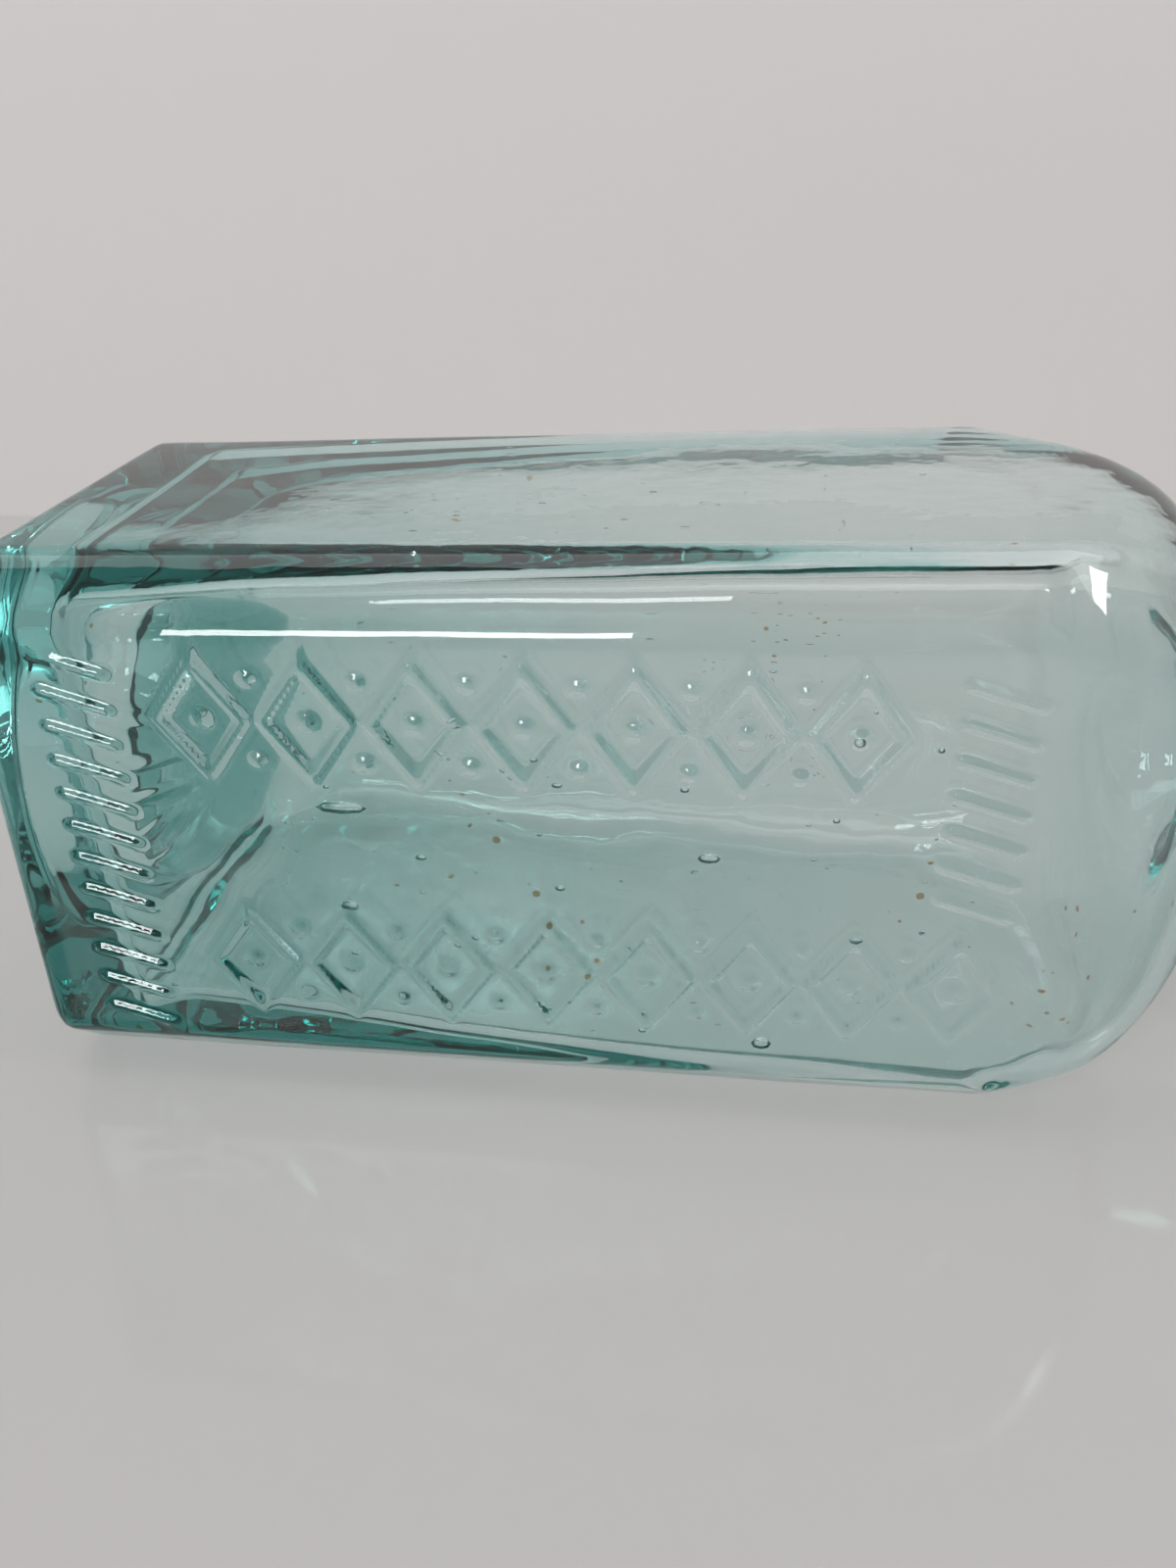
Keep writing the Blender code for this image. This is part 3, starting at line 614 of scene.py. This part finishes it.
def makeCork():
    # a tapered plug with quarter rounds at its ends, pitted where a fine wave runs high
    foot, top = mouth + cork["proud"] - cork["length"], mouth + cork["proud"]
    around = np.arange(cork["columns"]) * 2 * math.pi / cork["columns"]
    bend = np.linspace(0, quarterTurn, cork["edgeRows"])
    grow = np.linspace(0, 1, cork["capRows"] + 1)[1:-1]
    footRadius, topRadius = corkRadius(foot) - cork["edge"], corkRadius(top) - cork["edge"]
    side = np.linspace(foot + cork["edge"], top - cork["edge"], cork["rows"])[1:-1]
    heights = np.concatenate((foot + 0 * grow, foot + cork["edge"] * (1 - np.cos(bend)), side,
                              top - cork["edge"] * (1 - np.sin(bend)), top + 0 * grow))
    radii = np.concatenate((footRadius * grow, footRadius + cork["edge"] * np.sin(bend), corkRadius(side),
                            topRadius + cork["edge"] * np.cos(bend), topRadius * grow[::-1]))
    points = ringPoints(radii[:, None] + 0 * around, heights[:, None], around)
    crest = np.clip(ripples(points, corkWaves) - cork["pitLevel"], 0, cork["pitSpan"])
    pits = crest / cork["pitSpan"] * cork["pitDepth"]
    radial = np.hypot(points[..., 0], points[..., 1])
    onSide = easeIn((radial - cork["sideFrom"]) / cork["sideRun"])
    points[..., :2] *= (1 - pits * onSide / np.maximum(radial, cork["smallestRadius"]))[..., None]
    points[..., 2] += pits * (1 - onSide) * np.where(points[..., 2] < (foot + top) / 2, 1, -1)
    numbers = 1 + np.arange(points.shape[0] * points.shape[1]).reshape(points.shape[:2])
    last = numbers[-1, -1] + 1
    points = np.concatenate(([[0, 0, foot]], points.reshape(-1, 3), [[0, 0, top]]))
    triangles = np.concatenate((poleTriangles(0, numbers[0], True),
                                poleTriangles(last, numbers[-1], False)))
    obj = meshFromArrays("corkStopper", layDown(points), gridQuads(numbers), triangles)
    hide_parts("cork_stopper")
    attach(obj, "cork")
    return obj


corkStopper = makeCork()
volume, count = enclosedVolume(corkStopper)
print("cork: %d triangles, %.1f cm3" % (count, volume * cubicCentimetres))

# Materials

glassFinish = {
    "ior": 1.52, "smooth": 0.0,
    "through": (0.36, 0.745, 0.73, 1), "density": 72.0,     # aqua by depth
    "shadow": (0.72, 0.72, 0.715, 1),                       # what a shadow ray keeps at each surface
    "clear": (0.985, 1.0, 0.995, 1), "rust": (0.48, 0.22, 0.08, 1),
    "speckScale": 210.0, "speckSize": 0.11, "speckSparse": 0.64,
    "rippleScale": 170.0, "rippleDetail": 2.0, "rippleRough": 0.45,
    "rippleStrength": 0.35, "rippleHeight": 0.00012,
}
speckPatches = {"scale": 38.0, "detail": 2.0}
corkFinish = {
    "light": (0.56, 0.36, 0.20, 1), "dark": (0.27, 0.15, 0.075, 1), "rough": 0.85,
    "cloudScale": 260.0, "cloudDetail": 6.0, "cloudRough": 0.62, "cloudSpan": (0.30, 0.62),
    "poreScale": 420.0, "poreSpan": (0.10, 0.34), "pitStrength": 0.6, "pitHeight": 0.0004,
}


def newMaterial(name):
    # an empty node material with its Principled shader and output
    made = bpy.data.materials.new(name)
    made.use_nodes = True
    tree = made.node_tree
    return made, tree, tree.nodes["Principled BSDF"], tree.nodes["Material Output"]


def addNode(tree, kind, place, **values):
    # one node with its settings; a key that names an input sets that input
    node = tree.nodes.new(kind)
    node.location = place
    for key, value in values.items():
        if hasattr(node, key):
            setattr(node, key, value)
        else:
            node.inputs[key.replace("_", " ")].default_value = value
    return node


def addSpan(tree, place, span, **values):
    # from 0 at the span's start to 1 at its end
    node = addNode(tree, "ShaderNodeMapRange", place, **values)
    node.inputs["From Min"].default_value, node.inputs["From Max"].default_value = span
    return node


def speckleGroup():
    # sparse dots: one near a cell's middle, and only where a slow noise runs high
    group = bpy.data.node_groups.new("sparseSpecks", "ShaderNodeTree")
    for name, kind in (("Vector", "NodeSocketVector"), ("Scale", "NodeSocketFloat"),
                       ("Size", "NodeSocketFloat"), ("Sparse", "NodeSocketFloat")):
        group.interface.new_socket(name, in_out="INPUT", socket_type=kind)
    group.interface.new_socket("Mask", in_out="OUTPUT", socket_type="NodeSocketFloat")
    start = addNode(group, "NodeGroupInput", (-900, 0))
    end = addNode(group, "NodeGroupOutput", (500, 0))
    cells = addNode(group, "ShaderNodeTexVoronoi", (-600, 120))
    patches = addNode(group, "ShaderNodeTexNoise", (-600, -160),
                      Scale=speckPatches["scale"], Detail=speckPatches["detail"])
    near = addNode(group, "ShaderNodeMath", (-350, 120), operation="LESS_THAN")
    often = addNode(group, "ShaderNodeMath", (-350, -160), operation="GREATER_THAN")
    both = addNode(group, "ShaderNodeMath", (-50, 0), operation="MULTIPLY")
    link = group.links.new
    link(start.outputs["Vector"], cells.inputs["Vector"])
    link(start.outputs["Scale"], cells.inputs["Scale"])
    link(start.outputs["Vector"], patches.inputs["Vector"])
    link(cells.outputs["Distance"], near.inputs[0])
    link(start.outputs["Size"], near.inputs[1])
    link(patches.outputs["Fac"], often.inputs[0])
    link(start.outputs["Sparse"], often.inputs[1])
    link(near.outputs[0], both.inputs[0])
    link(often.outputs[0], both.inputs[1])
    link(both.outputs[0], end.inputs["Mask"])
    return group


def glassMaterial(speckles):
    # clear dielectric over aqua absorption, with fine ripples and rare rust specks; a shadow ray goes
    # straight through and keeps a share at each surface
    made, tree, surface, output = newMaterial("aquaGlass")
    link = tree.links.new
    place = addNode(tree, "ShaderNodeTexCoord", (-1300, 0))
    dots = addNode(tree, "ShaderNodeGroup", (-900, 260), node_tree=speckles)
    for name, key in (("Scale", "speckScale"), ("Size", "speckSize"), ("Sparse", "speckSparse")):
        dots.inputs[name].default_value = glassFinish[key]
    tint = addNode(tree, "ShaderNodeMix", (-500, 260), data_type="RGBA")
    tint.inputs["A"].default_value = glassFinish["clear"]
    tint.inputs["B"].default_value = glassFinish["rust"]
    ripple = addNode(tree, "ShaderNodeTexNoise", (-900, -300), Scale=glassFinish["rippleScale"],
                     Detail=glassFinish["rippleDetail"], Roughness=glassFinish["rippleRough"])
    bump = addNode(tree, "ShaderNodeBump", (-400, -300),
                   Strength=glassFinish["rippleStrength"], Distance=glassFinish["rippleHeight"])
    link(place.outputs["Object"], dots.inputs["Vector"])
    link(place.outputs["Object"], ripple.inputs["Vector"])
    link(dots.outputs["Mask"], tint.inputs["Factor"])
    link(tint.outputs["Result"], surface.inputs["Base Color"])
    link(ripple.outputs["Fac"], bump.inputs["Height"])
    link(bump.outputs["Normal"], surface.inputs["Normal"])
    surface.inputs["Metallic"].default_value = 0
    surface.inputs["Transmission Weight"].default_value = 1
    surface.inputs["IOR"].default_value = glassFinish["ior"]
    surface.inputs["Roughness"].default_value = glassFinish["smooth"]
    depth = addNode(tree, "ShaderNodeVolumeAbsorption", (0, -400), Density=glassFinish["density"])
    depth.inputs["Color"].default_value = glassFinish["through"]
    link(depth.outputs["Volume"], output.inputs["Volume"])
    ray = addNode(tree, "ShaderNodeLightPath", (200, 500))
    veil = addNode(tree, "ShaderNodeBsdfTransparent", (200, -120))
    veil.inputs["Color"].default_value = glassFinish["shadow"]
    pick = addNode(tree, "ShaderNodeMixShader", (480, 100))
    link(ray.outputs["Is Shadow Ray"], pick.inputs[0])
    link(surface.outputs["BSDF"], pick.inputs[1])
    link(veil.outputs["BSDF"], pick.inputs[2])
    link(pick.outputs["Shader"], output.inputs["Surface"])
    return made


def corkMaterial():
    # light and dark bark mixed by a cloudy noise, less where the bark's pores are
    made, tree, surface, output = newMaterial("corkBark")
    link = tree.links.new
    place = addNode(tree, "ShaderNodeTexCoord", (-1300, 0))
    cloud = addNode(tree, "ShaderNodeTexNoise", (-950, 200), Scale=corkFinish["cloudScale"],
                    Detail=corkFinish["cloudDetail"], Roughness=corkFinish["cloudRough"])
    pores = addNode(tree, "ShaderNodeTexVoronoi", (-950, -80), Scale=corkFinish["poreScale"])
    dark = addSpan(tree, (-650, -80), corkFinish["poreSpan"])
    lift = addSpan(tree, (-650, 200), corkFinish["cloudSpan"])
    blend = addNode(tree, "ShaderNodeMath", (-420, 60), operation="MULTIPLY")
    shade = addNode(tree, "ShaderNodeMix", (-200, 160), data_type="RGBA")
    shade.inputs["A"].default_value = corkFinish["dark"]
    shade.inputs["B"].default_value = corkFinish["light"]
    bump = addNode(tree, "ShaderNodeBump", (-200, -240),
                   Strength=corkFinish["pitStrength"], Distance=corkFinish["pitHeight"])
    for node in (cloud, pores):
        link(place.outputs["Object"], node.inputs["Vector"])
    link(cloud.outputs["Fac"], lift.inputs["Value"])
    link(pores.outputs["Distance"], dark.inputs["Value"])
    link(lift.outputs["Result"], blend.inputs[0])
    link(dark.outputs["Result"], blend.inputs[1])
    link(blend.outputs[0], shade.inputs["Factor"])
    link(blend.outputs[0], bump.inputs["Height"])
    link(shade.outputs["Result"], surface.inputs["Base Color"])
    link(bump.outputs["Normal"], surface.inputs["Normal"])
    surface.inputs["Roughness"].default_value = corkFinish["rough"]
    return made


glassBody.data.materials.append(glassMaterial(speckleGroup()))
corkStopper.data.materials.append(corkMaterial())
print("materials made")

# Table, wall and light

room = {
    "tableColour": (0.385, 0.370, 0.361, 1), "tableRough": 0.08,
    "tableOwnShare": 0.50, "tableSeen": (0.54, 0.530, 0.520, 1),
    "wallColour": (0.71, 0.674, 0.664, 1), "wallRough": 0.7,
    "wallAt": 0.245, "halfSpan": 3.0, "wallHalf": 3.0, "wallHeight": 2.4, "under": 0.00015,
    "skyFront": (0.22, 0.23, 0.24, 1), "skyBack": (0.36, 0.36, 0.36, 1), "skyHigh": (0.40, 0.40, 0.40, 1),
    "backSpan": (-0.8, 0.6), "highSpan": (0.25, 0.9),  # of a direction's way back and up
    "bounces": 64,                # enough for light that goes round inside a cut corner
}


def flatSheet(name, corners, material):
    # one rectangle that belongs to the room, not to the bottle
    mesh = bpy.data.meshes.new(name)
    mesh.from_pydata(corners, [], [(0, 1, 2, 3)])
    obj = bpy.data.objects.new(name, mesh)
    obj.data.materials.append(material)
    bpy.context.scene.collection.objects.link(obj)
    return obj


def tableMaterial():
    # pale glossy table; where it is seen, plainly, mirrored or through glass, a share of its brightness is
    # its own, so that the clear bottle doesn't darken it as much as metal would
    made, tree, surface, output = newMaterial("paleTable")
    link = tree.links.new
    surface.inputs["Base Color"].default_value = room["tableColour"]
    surface.inputs["Roughness"].default_value = room["tableRough"]
    ray = addNode(tree, "ShaderNodeLightPath", (-500, 400))
    plainOrMirrored = addNode(tree, "ShaderNodeMath", (-280, 400), operation="MAXIMUM")
    isSeen = addNode(tree, "ShaderNodeMath", (-80, 400), operation="MAXIMUM")
    share = addNode(tree, "ShaderNodeMath", (120, 400), operation="MULTIPLY")
    share.inputs[1].default_value = room["tableOwnShare"]
    own = addNode(tree, "ShaderNodeEmission", (120, 200))
    own.inputs["Color"].default_value = room["tableSeen"]
    pick = addNode(tree, "ShaderNodeMixShader", (320, 200))
    link(ray.outputs["Is Camera Ray"], plainOrMirrored.inputs[0])
    link(ray.outputs["Is Glossy Ray"], plainOrMirrored.inputs[1])
    link(plainOrMirrored.outputs[0], isSeen.inputs[0])
    link(ray.outputs["Is Transmission Ray"], isSeen.inputs[1])
    link(isSeen.outputs[0], share.inputs[0])
    link(share.outputs[0], pick.inputs[0])
    link(surface.outputs["BSDF"], pick.inputs[1])
    link(own.outputs["Emission"], pick.inputs[2])
    link(pick.outputs["Shader"], output.inputs["Surface"])
    return made


def wallMaterial():
    # pale matt wall that lets the view through from behind
    made, tree, surface, output = newMaterial("paleWall")
    surface.inputs["Base Color"].default_value = room["wallColour"]
    surface.inputs["Roughness"].default_value = room["wallRough"]
    behind = addNode(tree, "ShaderNodeNewGeometry", (-300, 300))
    through = addNode(tree, "ShaderNodeBsdfTransparent", (0, 200))
    pick = addNode(tree, "ShaderNodeMixShader", (250, 100))
    tree.links.new(behind.outputs["Backfacing"], pick.inputs[0])
    tree.links.new(surface.outputs["BSDF"], pick.inputs[1])
    tree.links.new(through.outputs["BSDF"], pick.inputs[2])
    tree.links.new(pick.outputs["Shader"], output.inputs["Surface"])
    return made


def makeRoom():
    # a level table and an upright wall that faces the front
    span, under = room["halfSpan"], -room["under"]
    flatSheet("table", [(-span, -span, under), (span, -span, under),
                        (span, span, under), (-span, span, under)], tableMaterial())
    half, wall, top = room["wallHalf"], room["wallAt"], room["wallHeight"]
    flatSheet("wall", [(-half, wall, under), (half, wall, under),
                       (half, wall, top), (-half, wall, top)], wallMaterial())


def makeSky():
    # darkest towards the front, lighter towards the back and overhead, eased over the direction alone
    world = bpy.data.worlds.new("room")
    bpy.context.scene.world = world
    world.use_nodes = True
    tree = world.node_tree
    place = addNode(tree, "ShaderNodeTexCoord", (-1000, 0))
    split = addNode(tree, "ShaderNodeSeparateXYZ", (-800, 0))
    level = addSpan(tree, (-600, 120), room["backSpan"], interpolation_type="SMOOTHSTEP")
    rise = addSpan(tree, (-600, -160), room["highSpan"], interpolation_type="SMOOTHSTEP")
    sides = addNode(tree, "ShaderNodeMix", (-380, 120), data_type="RGBA")
    sides.inputs["A"].default_value = room["skyFront"]
    sides.inputs["B"].default_value = room["skyBack"]
    shade = addNode(tree, "ShaderNodeMix", (-160, 0), data_type="RGBA")
    shade.inputs["B"].default_value = room["skyHigh"]
    link = tree.links.new
    link(place.outputs["Generated"], split.inputs["Vector"])
    link(split.outputs["Y"], level.inputs["Value"])
    link(split.outputs["Z"], rise.inputs["Value"])
    link(level.outputs["Result"], sides.inputs["Factor"])
    link(sides.outputs["Result"], shade.inputs["A"])
    link(rise.outputs["Result"], shade.inputs["Factor"])
    link(shade.outputs["Result"], tree.nodes["Background"].inputs["Color"])


lamps = {
    "overheadPanel": {"at": (0.0, -0.02, 1.15), "size": (1.80, 0.60), "spread": 150, "watts": 4.9},
    "rightPanel": {"at": (0.95, -0.22, 1.20), "size": (0.20, 0.20), "spread": 180, "watts": 2.0},
    "mainPanel": {"at": (-0.95, -2.35, 2.00), "size": (1.30, 0.80), "spread": 180, "watts": 54.0},
}


def placeByAxes(obj, at, axes):
    # puts an object at a place, with its own x, y and z along the three given directions
    turn = Matrix([axis.tolist() for axis in axes]).transposed().to_4x4()
    obj.matrix_world = Matrix.Translation(at) @ turn
    bpy.context.scene.collection.objects.link(obj)


def makeLamps():
    # soft rectangular lamps, each turned towards the middle of the frame and level along its first side
    for name, lamp in lamps.items():
        light = bpy.data.lights.new(name, "AREA")
        light.shape = "RECTANGLE"
        light.size, light.size_y = lamp["size"]
        light.energy = lamp["watts"]
        light.spread = math.radians(lamp["spread"])
        away = np.array(lamp["at"]) / np.linalg.norm(lamp["at"])
        up = np.cross(away, (1.0, 0, 0))
        up /= np.linalg.norm(up)
        placeByAxes(bpy.data.objects.new(name, light), lamp["at"], (np.cross(up, away), up, away))


camera = {
    "at": (-0.02697, -0.17472, 0.12581), "down": 28.2, "left": 3.7, "tilt": 0.8,
    "focalPixels": 1247.0, "framePixels": 1600.0, "sensor": 36.0, "nearest": 0.01, "furthest": 20,
}


def makeCamera():
    # pinhole at the photograph's place: looks down and a little left, with the horizon slightly tilted
    data = bpy.data.cameras.new("camera")
    data.sensor_width = camera["sensor"]
    data.lens = camera["sensor"] * camera["focalPixels"] / camera["framePixels"]
    data.clip_start, data.clip_end = camera["nearest"], camera["furthest"]
    down, left, tilt = (math.radians(camera[name]) for name in ("down", "left", "tilt"))
    ahead = np.array((-math.sin(left) * math.cos(down), math.cos(left) * math.cos(down), -math.sin(down)))
    right = np.array((math.cos(left), math.sin(left), 0.0))
    up = np.cross(right, ahead)
    rightTilted = math.cos(tilt) * right + math.sin(tilt) * up
    upTilted = -math.sin(tilt) * right + math.cos(tilt) * up
    obj = bpy.data.objects.new("camera", data)
    placeByAxes(obj, camera["at"], (rightTilted, upTilted, -ahead))
    bpy.context.scene.camera = obj


makeRoom()
makeSky()
makeLamps()
makeCamera()
bpy.context.scene.view_settings.view_transform = "Standard"
for kind in ("max_bounces", "transmission_bounces", "glossy_bounces"):
    setattr(bpy.context.scene.cycles, kind, room["bounces"])
print("room, lamps and camera set")
